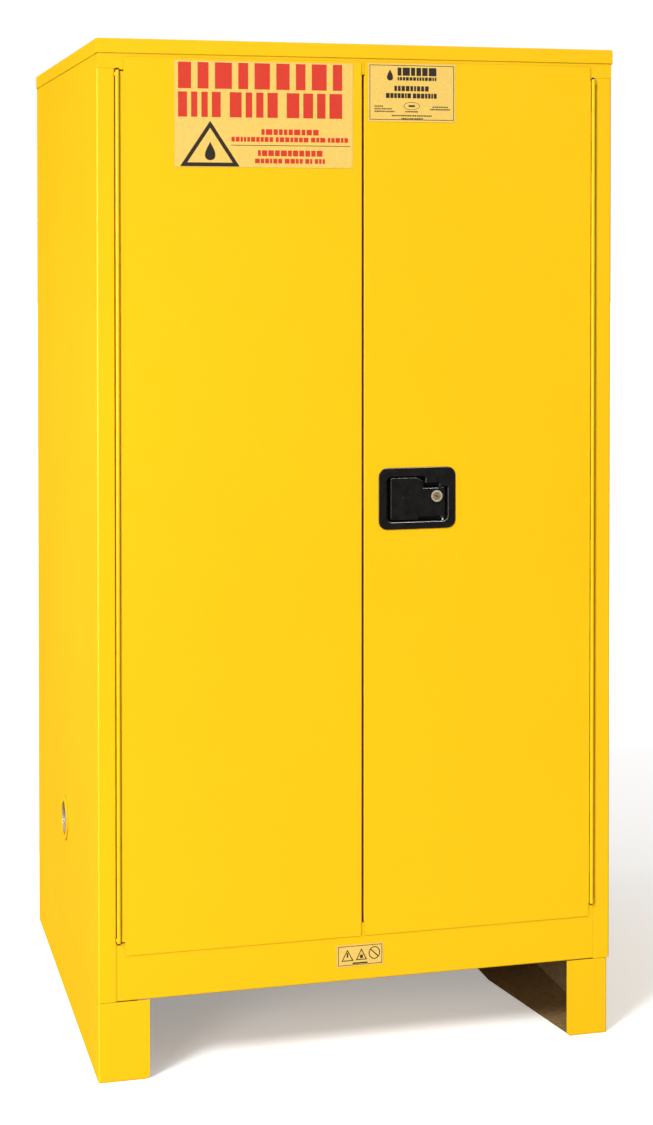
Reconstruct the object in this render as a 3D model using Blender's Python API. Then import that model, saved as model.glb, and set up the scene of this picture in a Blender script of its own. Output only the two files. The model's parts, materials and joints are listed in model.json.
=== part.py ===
"""Two-door flammable storage cabinet on legs: double-wall steel shell, piano hinges,
recessed paddle with a three-point latch, two lift-out shelves, sump and flame-arrester vents.

Origin at the centre of the footprint on the floor, +Z up, doors facing -Y.
Lengths below are in millimetres, and MM turns them into metres. Pieces that touch in the
real cabinet stand GAP apart here.
"""

import math

import bmesh
import bpy
from mathutils import Matrix, Vector

MM = 0.001
GAP = 0.3
SHEET = 1.2  # 18 gauge steel
AIR_GAP = 38.1  # between the two walls
BEND = 2.0  # radius of a fold, on the middle of the sheet
PLATE = 1.5  # thicker sheet of the shelving

WIDTH, DEPTH, HEIGHT = 863.6, 863.6, 1651.0
LEG_HEIGHT = 127.0
HALF_W = WIDTH / 2
BACK = DEPTH / 2
FRONT = -DEPTH / 2 + 5.5  # front face of the posts, the header and the sill
SIDE = HALF_W - 1.5  # outer face of the side panels

CAP_FRONT_SKIRT, CAP_SIDE_SKIRT = 22.5, 24.0
SEAM_TOP = 1604.0  # the header runs over the posts from here up
SEAM_INNER, SEAM_BACK = 390.0, -380.0  # how far in and back the posts are cut away for it
HEADER_BOTTOM = 1601.0
SILL_TOP = 221.0
POST_INNER = 401.25
RETURN_BACK = -388.5  # how far back the post returns reach

LINER = SIDE - SHEET - AIR_GAP  # outer face of the inner walls
LINER_TOP = HEIGHT - SHEET - AIR_GAP
LINER_BACK = BACK - SHEET - AIR_GAP
LINER_FRONT, LINER_LOW = -387.9, 129.0
SUMP_FLOOR, SUMP_RIM = 166.6, 218.0

SKIN = FRONT - GAP - SHEET  # front face of the doors
DOOR_BACK = SKIN + 39.0
DOOR_TOP, DOOR_BOTTOM = 1622.5, 200.0
BODY_TOP, BODY_BOTTOM = 1599.5, 222.5  # the thick part of a door, inside the opening
DOOR_OUTER = 394.25  # hinge side of that thick part
LIP_OUTER = {-1: 388.0, 1: 392.5}  # hinge side of the overlapping lip, left and right
EDGE_FRONT = {-1: 0.35, 1: 2.95}  # meeting edges, which lean back so that the doors pass
EDGE_LEAN = 3.25

HINGE_X, HINGE_Y = 397.7, SKIN - 0.8
KNUCKLE_R, PIN_BORE = 3.2, 2.0
KNUCKLES = 27
LEAF_DEPTH = 30.0
HINGE_LOW, HINGE_HIGH = 221.5, 1600.5
NOTCH, NOTCH_HALF = 3.6, {-1: 2.9, 1: 2.2}  # relief in header and sill at each end of a hinge

PAN = (27.6, 862.0, 157.9, 962.7)  # flange of the latch pan: x and z, low then high
PAN_DEPTH = 14.0
PADDLE_AXIS = (138.1, SKIN + 5.5)
TAB = (131.1, 136.6, 888.0, 893.0)
LOCK = (126.2, 914.8)
CAM = (126.5, 874.5)
CAM_ARM = 18.0  # cam centre to each of its pins
RIM_R, EDGE_R = 2.2, 1.5  # rounded edges of the pan's recess and of the paddle
CAM_PIN_R = 2.5
ROD_R = 4.0
ROD_Y = SKIN + 26.2
BOLT_X, BOLT_R = -30.0, 5.0  # slide bolts of the left door
BOLT_Y = SKIN + 24.0
TIP_GAP = 1.0  # rods and bolts end this far short of the frame

STANDARD_Y, STANDARD_FACE = 300.0, 378.0
SHELF_POST_LOW, SHELF_POST_HIGH = 222.0, 1600.0
SLOT_FIRST, SLOT_PITCH, SLOT_COUNT = 260.0, 50.0, 27
SHELF_HALF_W = 374.5
SHELF_FRONT, SHELF_BACK = -350.0, 384.0
SHELF_Z = {"lower": 682.0, "upper": 1132.0}  # underside of each shelf plate

VENT_R, VENT_BORE = 32.0, 28.5
VENT_Z = {-1: 312.0, 1: 1520.0}

FINISHES = {  # colour, roughness, metallic
    "yellow_paint": ((0.95, 0.60, 0.012), 0.38, 0.0),
    "galvanised_steel": ((0.55, 0.56, 0.57), 0.45, 1.0),
    "zinc_plated_steel": ((0.62, 0.61, 0.56), 0.35, 1.0),
    "black_cast": ((0.018, 0.017, 0.016), 0.42, 0.0),
    "nickel_plate": ((0.66, 0.60, 0.48), 0.25, 1.0),
    "brass": ((0.70, 0.50, 0.22), 0.30, 1.0),
    "stainless_steel": ((0.58, 0.57, 0.55), 0.35, 1.0),
    "cream_label": ((0.93, 0.66, 0.16), 0.50, 0.0),
}


def clear_scene():
    for obj in list(bpy.data.objects):
        bpy.data.objects.remove(obj, do_unlink=True)


def turned(vector, angle):
    """A 2-D vector turned anticlockwise."""
    c, s = math.cos(angle), math.sin(angle)
    return Vector((vector.x * c - vector.y * s, vector.x * s + vector.y * c))


def corner_arc(before, corner, after, radius, steps):
    """Points of a rounded corner, each with the direction to the left of travel."""
    ahead, away = (corner - before).normalized(), (after - corner).normalized()
    turn = math.atan2(ahead.cross(away), ahead.dot(away))
    left = Vector((-ahead.y, ahead.x))
    start = corner - ahead * radius * math.tan(abs(turn) / 2)
    centre = start + left * math.copysign(radius, turn)
    angles = [turn * k / steps for k in range(steps + 1)]
    return [(centre + turned(start - centre, a), turned(left, a)) for a in angles]


def fold(path, thickness=SHEET, bend=BEND, steps=3):
    """Outline of a folded sheet whose middle line follows the path."""
    points = [Vector(p) for p in path]
    first = (points[1] - points[0]).normalized()
    last = (points[-1] - points[-2]).normalized()
    line = [(points[0], Vector((-first.y, first.x)))]
    for before, corner, after in zip(points, points[1:], points[2:]):
        line += corner_arc(before, corner, after, bend, steps)
    line.append((points[-1], Vector((-last.y, last.x))))
    one = [tuple(p + n * thickness / 2) for p, n in line]
    other = [tuple(p - n * thickness / 2) for p, n in line]
    return one + other[::-1]


def rounded(corners, steps=4):
    """Closed outline with corners given as (a, b, radius)."""
    outline = []
    for i, (a, b, radius) in enumerate(corners):
        if radius:
            before, after = corners[i - 1], corners[(i + 1) % len(corners)]
            arc = corner_arc(Vector(before[:2]), Vector((a, b)), Vector(after[:2]), radius, steps)
            outline += [tuple(p) for p, _ in arc]
        else:
            outline.append((a, b))
    return outline


def rectangle(low, high, radius=0.0, steps=4):
    (a0, b0), (a1, b1) = low, high
    return rounded([(a0, b0, radius), (a1, b0, radius), (a1, b1, radius), (a0, b1, radius)], steps)


def circle(centre, radius, segments=24):
    return [
        (centre[0] + radius * math.cos(a), centre[1] + radius * math.sin(a))
        for a in (2 * math.pi * (k + 0.5) / segments for k in range(segments))
    ]


def add_prism(mesh, outline, axis, low, high):
    """Adds an outline in the other two axes, extruded along the axis from low to high."""
    order = {"X": (2, 0, 1), "Y": (0, 2, 1), "Z": (0, 1, 2)}[axis]
    ends = []
    for level in (low, high):
        points = [(a, b, level) for a, b in outline]
        ends.append([mesh.verts.new(Vector([p[i] for i in order]) * MM) for p in points])
    faces = [mesh.faces.new(ends[0]), mesh.faces.new(ends[1])]
    for i in range(len(outline)):
        j = (i + 1) % len(outline)
        faces.append(mesh.faces.new((ends[0][i], ends[0][j], ends[1][j], ends[1][i])))
    bmesh.ops.recalc_face_normals(mesh, faces=faces)


def offset(corners, by):
    """Anticlockwise corners (a, b, radius) moved out by a distance, or in if it is negative."""
    moved = []
    for i, (a, b, radius) in enumerate(corners):
        before, after = Vector(corners[i - 1][:2]), Vector(corners[(i + 1) % len(corners)][:2])
        ahead, away = (Vector((a, b)) - before).normalized(), (after - Vector((a, b))).normalized()
        out, then = Vector((ahead.y, -ahead.x)), Vector((away.y, -away.x))
        shift = (out + then) * by / (1 + out.dot(then))
        bigger = by if ahead.cross(away) > 0 else -by
        moved.append((a + shift.x, b + shift.y, max(radius + bigger, 0.05) if radius else 0))
    return moved


def add_loft(mesh, rings):
    """Adds a closed body through rings (corners, y) of as many corners each."""
    loops = [
        [mesh.verts.new(Vector((x, y, z)) * MM) for x, z in rounded(corners, 5)] for corners, y in rings
    ]
    faces = [mesh.faces.new(loops[0]), mesh.faces.new(loops[-1])]
    for one, two in zip(loops, loops[1:]):
        for i in range(len(one)):
            j = (i + 1) % len(one)
            faces.append(mesh.faces.new((one[i], one[j], two[j], two[i])))
    bmesh.ops.recalc_face_normals(mesh, faces=faces)


def eased(corners, radius, front, back, growing):
    """Rings of a body whose front edge is a quarter round: growing out of it, or cut into it."""
    turns = [math.radians(a) for a in (0, 22.5, 45, 67.5, 90)]
    start = [] if growing else [(offset(corners, radius), front - 5)]
    side = -1 if growing else 1
    arc = [
        (offset(corners, side * radius * (1 - math.sin(t))), front + radius * (1 - math.cos(t)))
        for t in turns[:-1]
    ]
    return start + arc + [(corners, front + radius), (corners, back)]


def object_from(name, mesh):
    data = bpy.data.meshes.new(name)
    mesh.to_mesh(data)
    mesh.free()
    obj = bpy.data.objects.new(name, data)
    bpy.context.scene.collection.objects.link(obj)
    return obj


def solid(name, *prisms):
    """An object from prisms (outline, axis, low, high) that don't touch each other."""
    mesh = bmesh.new()
    for outline, axis, low, high in prisms:
        add_prism(mesh, outline, axis, min(low, high), max(low, high))
    return object_from(name, mesh)


def lofted(name, rings):
    mesh = bmesh.new()
    add_loft(mesh, rings)
    return object_from(name, mesh)


def box(x0, x1, y0, y1, z0, z1):
    """A box as a prism for solid()."""
    return (rectangle((min(x0, x1), min(y0, y1)), (max(x0, x1), max(y0, y1))), "Z", z0, z1)


def combine(obj, operation, helper):
    helper.hide_render = True
    helper.display_type = "WIRE"
    modifier = obj.modifiers.new(helper.name, "BOOLEAN")
    modifier.operation = operation
    modifier.solver = "EXACT"
    modifier.object = helper


def cut(obj, *prisms):
    combine(obj, "DIFFERENCE", solid(f"{obj.name}_cut{len(obj.modifiers)}", *prisms))


def add(obj, *prisms):
    combine(obj, "UNION", solid(f"{obj.name}_add{len(obj.modifiers)}", *prisms))


def finish(obj, look, pivot=None, smooth=False):
    """Gives the object its material, its origin and its shading."""
    colour, roughness, metallic = FINISHES[look]
    material = bpy.data.materials.new(f"{obj.name}_{look}")
    material.use_nodes = True
    shader = material.node_tree.nodes["Principled BSDF"]
    shader.inputs["Base Color"].default_value = (*colour, 1.0)
    shader.inputs["Roughness"].default_value = roughness
    shader.inputs["Metallic"].default_value = metallic
    obj.data.materials.append(material)
    if smooth:
        obj.data.shade_smooth()
        obj.data.set_sharp_from_angle(angle=math.radians(30))
    if pivot:
        parent = bpy.data.objects[pivot]
        obj.data.transform(Matrix.Translation(-parent.matrix_world.translation))
        obj.parent = parent
    return obj


def pivot(name, x, y, z, parent=None):
    """An empty on a joint's axis."""
    empty = bpy.data.objects.new(name, None)
    empty.empty_display_size = 0.05
    here = Vector((x, y, z)) * MM
    if parent:
        empty.parent = bpy.data.objects[parent]
        here -= empty.parent.matrix_world.translation
    empty.location = here
    bpy.context.scene.collection.objects.link(empty)
    bpy.context.view_layer.update()


def name_of(side):
    return "left" if side < 0 else "right"


def side_panel(side):
    """Side wall with the front post folded on it."""
    mid = SHEET / 2
    path = [
        (side * (SIDE - mid), BACK - SHEET - GAP),
        (side * (SIDE - mid), FRONT + mid),
        (side * (POST_INNER + mid), FRONT + mid),
        (side * (POST_INNER + mid), RETURN_BACK),
    ]
    panel = solid(f"side_panel_{name_of(side)}", (fold(path), "Z", LEG_HEIGHT + GAP, HEIGHT - SHEET - GAP))
    front, inner = FRONT + SHEET + GAP, SIDE - SHEET - 0.2
    corner = [
        (side * (SIDE + 2), FRONT - 4),
        (side * SEAM_INNER, FRONT - 4),
        (side * SEAM_INNER, SEAM_BACK),
        (side * inner, SEAM_BACK),
        (side * inner, front),
        (side * (SIDE + 2), front),
    ]
    cut(panel, (corner, "Z", SEAM_TOP - GAP, HEIGHT + 5))
    cut(panel, (circle((0, VENT_Z[side]), VENT_R + 0.5, 32), "X", side * 420, side * 440))
    return finish(panel, "yellow_paint", smooth=True)


def top_cap():
    """Inverted tray whose side skirts hang a little lower than the front and back ones."""
    low = HEIGHT - CAP_SIDE_SKIRT
    front = FRONT - GAP - SHEET
    corners = [(-HALF_W, low, 0), (HALF_W, low, 0), (HALF_W, HEIGHT, 2.6), (-HALF_W, HEIGHT, 2.6)]
    profile = rounded(corners, 3)
    cap = solid("top_cap", (profile, "Y", front, BACK))
    skirt = HEIGHT - CAP_FRONT_SKIRT
    hollow = [
        (front - 10, low - 10),
        (BACK + 10, low - 10),
        (BACK + 10, skirt),
        (BACK - SHEET, skirt),
        (BACK - SHEET, HEIGHT - SHEET),
        (front + SHEET, HEIGHT - SHEET),
        (front + SHEET, skirt),
        (front - 10, skirt),
    ]
    cut(cap, (hollow, "X", -HALF_W + SHEET, HALF_W - SHEET))
    return finish(cap, "yellow_paint", smooth=True)


def hinge_notches(low, high):
    """Cutters for the relief at one end of both hinges."""
    return [
        box(x - half, x + half, FRONT - 2, FRONT + 2, low, high)
        for x, half in ((side * HINGE_X, NOTCH_HALF[side]) for side in (-1, 1))
    ]


def header_rail():
    """Folded rail over the doors, its face running to the outer corners above the posts."""
    mid = SHEET / 2
    path = [
        (FRONT + mid, HEIGHT - SHEET - GAP),
        (FRONT + mid, HEADER_BOTTOM + mid),
        (RETURN_BACK - 0.3, HEADER_BOTTOM + mid),
        (RETURN_BACK - 0.3, HEADER_BOTTOM + 9),
    ]
    reach = POST_INNER - GAP - 0.05
    rail = solid("header_rail", (fold(path), "X", -SIDE + 0.4, SIDE - 0.4))
    below, behind = HEADER_BOTTOM - 11, FRONT + SHEET + 0.6
    end = [
        (FRONT - 14, below),
        (SEAM_BACK, below),
        (SEAM_BACK, HEIGHT + 4),
        (behind, HEIGHT + 4),
        (behind, SEAM_TOP),
        (FRONT - 14, SEAM_TOP),
    ]
    cut(rail, (end, "X", -HALF_W - 8, -reach), (end, "X", reach, HALF_W + 8))
    cut(rail, *hinge_notches(HEADER_BOTTOM - 5, HEADER_BOTTOM + NOTCH))
    cut(
        rail,
        (circle((CAM[0] - CAM_ARM, ROD_Y), ROD_R + 2), "Z", HEADER_BOTTOM - 3, HEADER_BOTTOM + 6),
        (circle((BOLT_X, BOLT_Y), BOLT_R + 1), "Z", HEADER_BOTTOM - 3, HEADER_BOTTOM + 6),
    )
    return finish(rail, "yellow_paint", smooth=True)


def sill_rail():
    """Folded rail under the doors, between the posts."""
    mid = SHEET / 2
    path = [
        (RETURN_BACK - 0.3, SILL_TOP - 21),
        (RETURN_BACK - 0.3, SILL_TOP - mid),
        (FRONT + mid, SILL_TOP - mid),
        (FRONT + mid, LEG_HEIGHT + GAP + mid),
        (RETURN_BACK, LEG_HEIGHT + GAP + mid),
    ]
    reach = POST_INNER - GAP - 0.05
    rail = solid("sill_rail", (fold(path), "X", -reach, reach))
    cut(rail, *hinge_notches(SILL_TOP - NOTCH, SILL_TOP + 5))
    cut(
        rail,
        (circle((CAM[0] + CAM_ARM, ROD_Y), ROD_R + 2), "Z", SILL_TOP - 6, SILL_TOP + 4),
        (circle((BOLT_X, BOLT_Y), BOLT_R + 1), "Z", SILL_TOP - 6, SILL_TOP + 4),
    )
    return finish(rail, "yellow_paint", smooth=True)


def back_panel():
    low, high = LEG_HEIGHT + GAP, HEIGHT - CAP_FRONT_SKIRT - GAP
    panel = solid("back_panel", box(-SIDE, SIDE, BACK - SHEET, BACK, low, high))
    return finish(panel, "yellow_paint")


def bottom_panel():
    low = LEG_HEIGHT + GAP
    reach = SIDE - SHEET - GAP
    panel = solid("bottom_panel", box(-reach, reach, LINER_FRONT, BACK - SHEET - GAP, low, low + SHEET))
    return finish(panel, "yellow_paint")


def liner_side(side):
    """Inner side wall with a front flange that closes the air space behind the post."""
    mid = SHEET / 2
    path = [
        (side * (POST_INNER + 1), LINER_FRONT + mid),
        (side * (LINER - mid), LINER_FRONT + mid),
        (side * (LINER - mid), LINER_BACK - SHEET - GAP),
    ]
    wall = solid(f"liner_{name_of(side)}", (fold(path), "Z", LINER_LOW, LINER_TOP - SHEET - GAP))
    cut(wall, (circle((0, VENT_Z[side]), VENT_R + 0.5, 32), "X", side * 380, side * 400))
    return finish(wall, "yellow_paint", smooth=True)


def liner_back():
    low, high = LINER_LOW, LINER_TOP - SHEET - GAP
    wall = solid("liner_back", box(-LINER, LINER, LINER_BACK - SHEET, LINER_BACK, low, high))
    return finish(wall, "yellow_paint")


def liner_top():
    reach = POST_INNER + 0.75
    wall = solid("liner_top", box(-reach, reach, LINER_FRONT, LINER_BACK, LINER_TOP - SHEET, LINER_TOP))
    return finish(wall, "yellow_paint")


def sump_pan():
    """Leak-tight well at the bottom of the storage space."""
    reach, front, back = LINER - SHEET - GAP, LINER_FRONT, LINER_BACK - SHEET - GAP
    pan = solid("sump_pan", box(-reach, reach, front, back, SUMP_FLOOR, SUMP_RIM))
    inside = (SHEET - reach, reach - SHEET, front + SHEET, back - SHEET)
    cut(pan, box(*inside, SUMP_FLOOR + SHEET, SUMP_RIM + 10))
    return finish(pan, "yellow_paint")


def leg(side):
    """Full-depth leg: folded front, side and back, a top flange and a foot plate."""
    mid = SHEET / 2
    outer = SIDE if side < 0 else SIDE - 4.3
    inner = 348.5 if side < 0 else 355.0
    path = [
        (side * inner, FRONT + mid),
        (side * (outer - mid), FRONT + mid),
        (side * (outer - mid), BACK - mid),
        (side * inner, BACK - mid),
    ]
    part = solid(f"leg_{name_of(side)}", (fold(path), "Z", 0, LEG_HEIGHT - GAP))
    near, bite = outer - mid, 3.5  # the plates start in the middle of the sheet, clear of its folds
    front, back = FRONT + mid, BACK - mid
    foot = [
        (near, front + bite),
        (near - bite, front),
        (inner + 8, front),
        (inner + 5, front + 8),
        (313, -132),
        (313, 132),
        (inner + 5, back - 8),
        (inner + 8, back),
        (near - bite, back),
        (near, back - bite),
    ]
    add(part, ([(side * x, y) for x, y in foot], "Z", 0, SHEET))
    flange = [
        (near, front + bite),
        (near - bite, front),
        (outer - 36, front),
        (outer - 36, back),
        (near - bite, back),
        (near, back - bite),
    ]
    top = LEG_HEIGHT - GAP
    add(part, ([(side * x, y) for x, y in flange], "Z", top - SHEET, top))
    corner = [
        (side * (inner + a), b)
        for a, b in ((-5, -5), (9, -5), (6.0, 0.45), (2.2, 2.2), (0.45, 6.0), (-5, 9))
    ]
    cut(part, (corner, "Y", FRONT - 5, FRONT + 5), (corner, "Y", BACK - 5, BACK + 5))
    if side > 0:
        cut(part, (circle((BACK - 90, 80), 4.6, 20), "X", 415, 435))
    return finish(part, "yellow_paint", smooth=True)


def shelf_standard(side, end):
    """Slotted channel that the shelf brackets hook into."""
    y, face, wall = end * STANDARD_Y, STANDARD_FACE + PLATE / 2, LINER - SHEET - 0.4
    path = [(side * wall, y - 12), (side * face, y - 12), (side * face, y + 12), (side * wall, y + 12)]
    place = "front" if end < 0 else "rear"
    name = f"shelf_standard_{place}_{name_of(side)}"
    part = solid(name, (fold(path, PLATE, 1.6, 2), "Z", SHELF_POST_LOW, SHELF_POST_HIGH))
    slots = [SLOT_FIRST + SLOT_PITCH * k for k in range(SLOT_COUNT)]
    near, far = side * (STANDARD_FACE - 2), side * (STANDARD_FACE + 3)
    cut(part, *[box(near, far, y - 2.5, y + 2.5, z - 11, z + 11) for z in slots])
    return finish(part, "galvanised_steel")


def shelf_bracket(side, level):
    """Angle rail that a shelf rests on, with a hook at each standard."""
    z = SHELF_Z[level]
    web, lip = STANDARD_FACE - 0.6 - PLATE / 2, z - GAP - PLATE / 2
    path = [(side * web, z - 32), (side * web, lip), (side * 355, lip)]
    part = solid(f"shelf_bracket_{level}_{name_of(side)}", (fold(path, PLATE, 1.6, 2), "Y", -330, 330))
    hook = [
        (side * web, z - 30),
        (side * web, z - 14),
        (side * 384, z - 14),
        (side * 384, z - 38),
        (side * 381, z - 38),
        (side * 381, z - 30),
    ]
    for end in (-1, 1):
        add(part, (hook, "Y", end * STANDARD_Y - 1.5, end * STANDARD_Y + 1.5))
    return finish(part, "galvanised_steel")


def shelf(level):
    """Tray with a raised rim and three stiffening channels underneath."""
    z = SHELF_Z[level]
    body = box(-SHELF_HALF_W, SHELF_HALF_W, SHELF_FRONT, SHELF_BACK, z, z + 15)
    part = solid(f"shelf_{level}", body)
    w, f, b = SHELF_HALF_W - PLATE, SHELF_FRONT + PLATE, SHELF_BACK - PLATE
    cut(part, box(-w, w, f, b, z + PLATE, z + 30))
    for y in (-170, 17, 204):
        low, top = z - 16, z + PLATE / 2
        path = [(y - 34, top), (y - 20, top), (y - 14, low), (y + 14, low), (y + 20, top), (y + 34, top)]
        add(part, (fold(path, 1.0, 1.4, 2), "X", -348, 348))
    pivot(f"shelf_{level}_lift", 0, 0, z)
    return finish(part, "galvanised_steel", f"shelf_{level}_lift")


def hinge_leaf(side, on_door):
    """Leaf of a piano hinge: every other knuckle rolled round the pin."""
    owner = "door" if on_door else "frame"
    middle = (KNUCKLE_R + PIN_BORE) / 2
    out = -side if on_door else side  # towards the post, or towards the door
    line = [(middle * out, LEAF_DEPTH)] + [
        (middle * out * math.cos(a), -middle * math.sin(a))
        for a in (math.radians(270) * k / 12 for k in range(13))
    ]
    half = (KNUCKLE_R - PIN_BORE) / 2
    one, other = [(middle * out + half * out, LEAF_DEPTH)], [(middle * out - half * out, LEAF_DEPTH)]
    for x, y in line[1:]:
        one.append((x * (middle + half) / middle, y * (middle + half) / middle))
        other.append((x * (middle - half) / middle, y * (middle - half) / middle))
    centre = side * HINGE_X
    outline = [(centre + x, HINGE_Y + y) for x, y in one + other[::-1]]
    leaf = solid(f"hinge_leaf_{owner}_{name_of(side)}", (outline, "Z", HINGE_LOW, HINGE_HIGH))
    pitch = (HINGE_HIGH - HINGE_LOW) / KNUCKLES
    gaps = []
    for k in range(0 if on_door else 1, KNUCKLES, 2):
        low = HINGE_LOW + pitch * k - (5 if k == 0 else 0.15)
        high = HINGE_LOW + pitch * (k + 1) + (5 if k == KNUCKLES - 1 else 0.15)
        gaps.append(box(centre - 4.2, centre + 4.2, HINGE_Y - 4.2, HINGE_Y + 3.8, low, high))
    cut(leaf, *gaps)
    return finish(leaf, "yellow_paint", f"door_{name_of(side)}" if on_door else None, smooth=True)


def hinge_pin(side):
    pin = solid(
        f"hinge_pin_{name_of(side)}",
        (circle((side * HINGE_X, HINGE_Y), PIN_BORE - GAP, 12), "Z", HINGE_LOW - 1, HINGE_HIGH + 1),
    )
    return finish(pin, "zinc_plated_steel", smooth=True)


def door_skin(side):
    """Outer pan of a door: front sheet, four returns and the lip over header and sill."""
    edge = side * EDGE_FRONT[side]
    lean = edge + side * EDGE_LEAN
    hinge = side * DOOR_OUTER
    back = DOOR_BACK - SHEET - GAP
    outer = rounded([(hinge, SKIN, 1.2), (edge, SKIN, 1.4), (lean, back, 0), (hinge, back, 0)], 3)
    skin = solid(f"door_skin_{name_of(side)}", (outer, "Z", BODY_BOTTOM, BODY_TOP))
    t = side * SHEET
    face = SKIN + SHEET
    inner = [(hinge - t, face), (edge + t, face), (lean + t, back + 5), (hinge - t, back + 5)]
    cut(skin, (inner, "Z", BODY_BOTTOM + SHEET, BODY_TOP - SHEET))
    lip = (side * LIP_OUTER[side], edge + side * 1.0, SKIN, SKIN + SHEET)
    add(skin, box(*lip, BODY_TOP - 1, DOOR_TOP))
    add(skin, box(*lip, DOOR_BOTTOM, BODY_BOTTOM + 1))
    if side < 0:
        cut(
            skin,
            (circle((BOLT_X, BOLT_Y), BOLT_R + 0.8, 20), "Z", BODY_BOTTOM - 3, BODY_BOTTOM + 3),
            (circle((BOLT_X, BOLT_Y), BOLT_R + 0.8, 20), "Z", BODY_TOP - 3, BODY_TOP + 3),
            box(-7, 3, SKIN + 21, SKIN + 33, CAM[1] - 26, CAM[1] - 8),
        )
    else:
        cut(
            skin,
            (circle((CAM[0] + CAM_ARM, ROD_Y), ROD_R + 0.8, 20), "Z", BODY_BOTTOM - 3, BODY_BOTTOM + 3),
            (circle((CAM[0] - CAM_ARM, ROD_Y), ROD_R + 0.8, 20), "Z", BODY_TOP - 3, BODY_TOP + 3),
            box(-1, 12, SKIN + 22.2, SKIN + 31.8, CAM[1] - 25, CAM[1] - 9.5),
            (rectangle((39.6, 872.3), (146.6, 949.7), 9.5), "Y", SKIN - 3, SKIN + 4),
        )
    return finish(skin, "yellow_paint", f"door_{name_of(side)}", smooth=True)


def door_liner(side):
    """Inner sheet of a door, with the guides of its rods or bolts welded to it."""
    edge = side * (EDGE_FRONT[side] + EDGE_LEAN + GAP)
    across = (side * (DOOR_OUTER - 0.25), edge, DOOR_BACK - SHEET, DOOR_BACK)
    liner = solid(f"door_liner_{name_of(side)}", box(*across, BODY_BOTTOM + GAP, BODY_TOP - GAP))
    if side < 0:
        bars, y, r = [(BOLT_X, 1540), (BOLT_X, 280)], BOLT_Y, BOLT_R
    else:
        bars, y, r = [(CAM[0] - CAM_ARM, 1480), (CAM[0] + CAM_ARM, 340)], ROD_Y, ROD_R
    back = DOOR_BACK - 0.4
    guides = [box(x - 9, x + 9, y - r - 3.2, back, z - 9, z + 9) for x, z in bars]
    holes = [(circle((x, y), r + 0.5, 20), "Z", z - 12, z + 12) for x, z in bars]
    if side > 0:
        z = CAM[1] - CAM_ARM + 0.5
        guides.append(box(54, 64, SKIN + 24.4, back, z - 9, z + 9))
        holes.append(box(50, 68, SKIN + 25.6, SKIN + 29.8, z - 5.2, z + 5.2))
    else:
        through = (DOOR_BACK - 4, DOOR_BACK + 3)
        holes += [box(x - 3.2, x + 3.2, *through, z - 14, z + 14) for x, z in knob_places()]
    add(liner, *guides)
    cut(liner, *holes)
    return finish(liner, "yellow_paint", f"door_{name_of(side)}")


def knob_places():
    """Middle of the travel of each slide-bolt knob."""
    return [(BOLT_X, 1493), (BOLT_X, 327)]


def slide_bolt(end):
    """Slide bolt of the left door, with a knob that passes through the liner."""
    place = "upper" if end > 0 else "lower"
    x, z = knob_places()[0 if end > 0 else 1]
    z += 7 * end
    tip = HEADER_BOTTOM - TIP_GAP if end > 0 else SILL_TOP + TIP_GAP
    bolt = solid(f"slide_bolt_{place}", (circle((x, BOLT_Y), BOLT_R, 20), "Z", z - 14 * end, tip))
    add(bolt, (circle((x, z - 4 * end), 2.4, 12), "Y", BOLT_Y, DOOR_BACK + 3))
    add(bolt, (circle((x, z - 4 * end), 8, 20), "Y", DOOR_BACK + 1, DOOR_BACK + 9))
    pivot(f"slide_bolt_{place}_travel", x, BOLT_Y, z, "door_left")
    return finish(bolt, "zinc_plated_steel", f"slide_bolt_{place}_travel", smooth=True)


def label(name, x0, x1, z0, z1, face, owner=None):
    part = solid(name, (rectangle((x0, z0), (x1, z1), 1.5, 2), "Y", face - GAP - 0.3, face - GAP))
    return finish(part, "cream_label", owner)


def latch_pan():
    """Recessed housing of the paddle."""
    x0, z0, x1, z1 = PAN
    flange = [(x0, z0, 14), (x1, z0, 14), (x1, z1, 14), (x0, z1, 14)]
    pan = lofted("latch_pan", eased(flange, 1.1, SKIN - 1.8, SKIN - GAP, growing=True))
    floor = SKIN + PAN_DEPTH
    add(pan, (rectangle((40.1, 872.8), (146.1, 949.2), 9.3, 5), "Y", SKIN - 1.0, floor + 1.5))
    recess = [
        (41.6, 874.3, 8),
        (144.6, 874.3, 8),
        (144.6, 929.2, 0.6),
        (130.3, 929.2, 0),
        (130.3, 936.4, 1.5),
        (106.6, 936.4, 0),
        (106.6, 947.7, 2),
        (41.6, 947.7, 8),
    ]
    rings = eased(recess, RIM_R, SKIN - 1.8, floor, growing=False)
    combine(pan, "DIFFERENCE", lofted("latch_pan_recess", rings))
    cut(pan, box(121.0, 139.4, floor - 4, floor + 6, TAB[2] - 2, TAB[3] + 2))
    cut(pan, (circle(PADDLE_AXIS, 2.3, 16), "Z", 868, 878), (circle(PADDLE_AXIS, 2.3, 16), "Z", 925, 941))
    return finish(pan, "black_cast", "door_right", smooth=True)


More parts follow.
